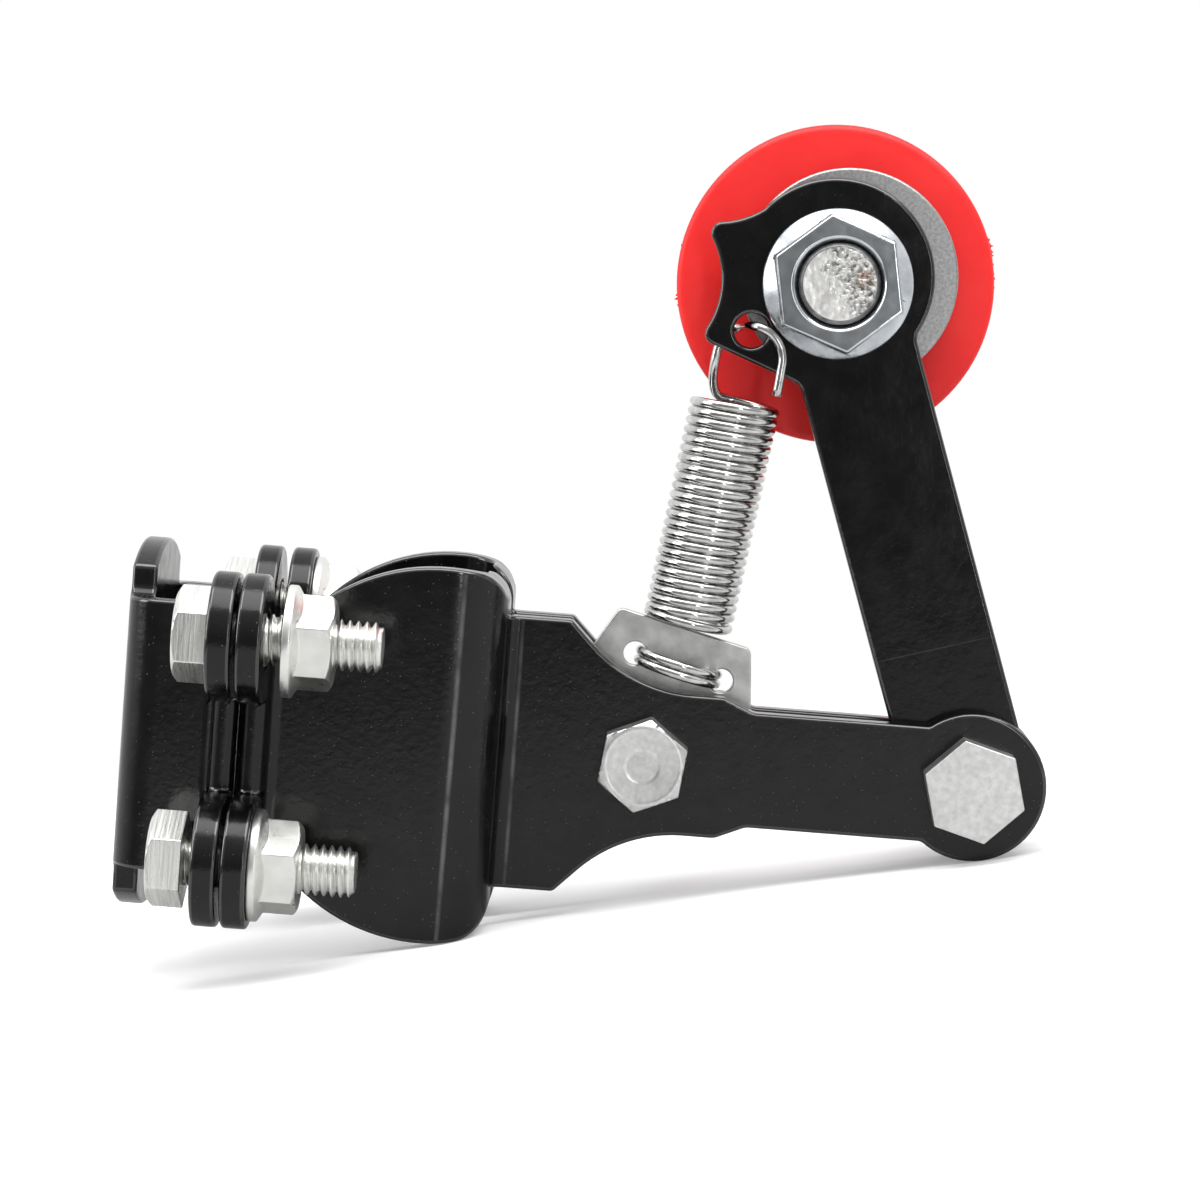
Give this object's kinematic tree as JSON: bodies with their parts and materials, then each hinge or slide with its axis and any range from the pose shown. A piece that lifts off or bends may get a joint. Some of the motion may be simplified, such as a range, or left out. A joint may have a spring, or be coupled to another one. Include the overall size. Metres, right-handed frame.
{
  "type": "bicycle chain tensioner",
  "caption": "Folded-sheet clamp bracket for a frame tube with a pivoted lever arm, an extension spring and a grooved roller that takes up slack in a bicycle chain.",
  "frame": {"origin": "centre of the tube space, between the two cheeks of the bracket and half-way up them", "axes": "+Z along the clamped tube, +X from the tube towards the pivot bolt, +Y to the side the roller is on"},
  "size_m": [0.1116, 0.0632, 0.1014],
  "materials": {
    "black_paint": "glossy black paint on steel sheet",
    "zinc_plate": "bright zinc plate",
    "satin_zinc": "satin zinc plate",
    "spring_wire": "bright drawn wire",
    "white_nylon": "plain nylon",
    "red_polyurethane": "satin moulded polyurethane"
  },
  "bodies": {
    "bracket": {"bracket_plate_near": "black_paint", "bracket_plate_far": "black_paint", "clamp_strap": "black_paint", "clamp_bolt_near_upper": "zinc_plate", "clamp_bolt_near_lower": "zinc_plate", "clamp_bolt_far_upper": "zinc_plate", "clamp_bolt_far_lower": "zinc_plate", "clamp_nut_near_upper": "zinc_plate", "clamp_nut_near_lower": "zinc_plate", "clamp_nut_far_upper": "zinc_plate", "clamp_nut_far_lower": "zinc_plate", "anchor_plate": "satin_zinc", "anchor_bolt": "zinc_plate", "anchor_nut": "zinc_plate", "anchor_washer_near": "zinc_plate", "anchor_washer_far": "zinc_plate", "pivot_bolt": "zinc_plate", "pivot_washer": "zinc_plate", "pivot_nut": "zinc_plate", "thrust_washer_near": "white_nylon", "thrust_washer_far": "white_nylon", "extension_spring": "spring_wire"},
    "arm": {"lever_arm": "black_paint", "axle_bolt": "zinc_plate", "axle_nut": "zinc_plate", "axle_washer_near": "satin_zinc", "axle_washer_far": "satin_zinc", "axle_sleeve": "zinc_plate"},
    "roller": {"roller": "red_polyurethane", "roller_bush_near": "white_nylon", "roller_bush_far": "white_nylon"}
  },
  "joints": [
    {"name": "arm_pivot", "type": "hinge", "parent": "bracket", "child": "arm", "pos_m": [0.08, 0, 0], "axis": [0, 1, 0], "range_deg": [0, 35], "stiffness_Nm_per_rad": 0.93, "deforming": ["extension_spring"]},
    {"name": "roller_spin", "type": "hinge", "parent": "arm", "child": "roller", "pos_m": [0.05907, 0.01275, 0.05942], "axis": [0, 1, 0], "continuous": true}
  ]
}
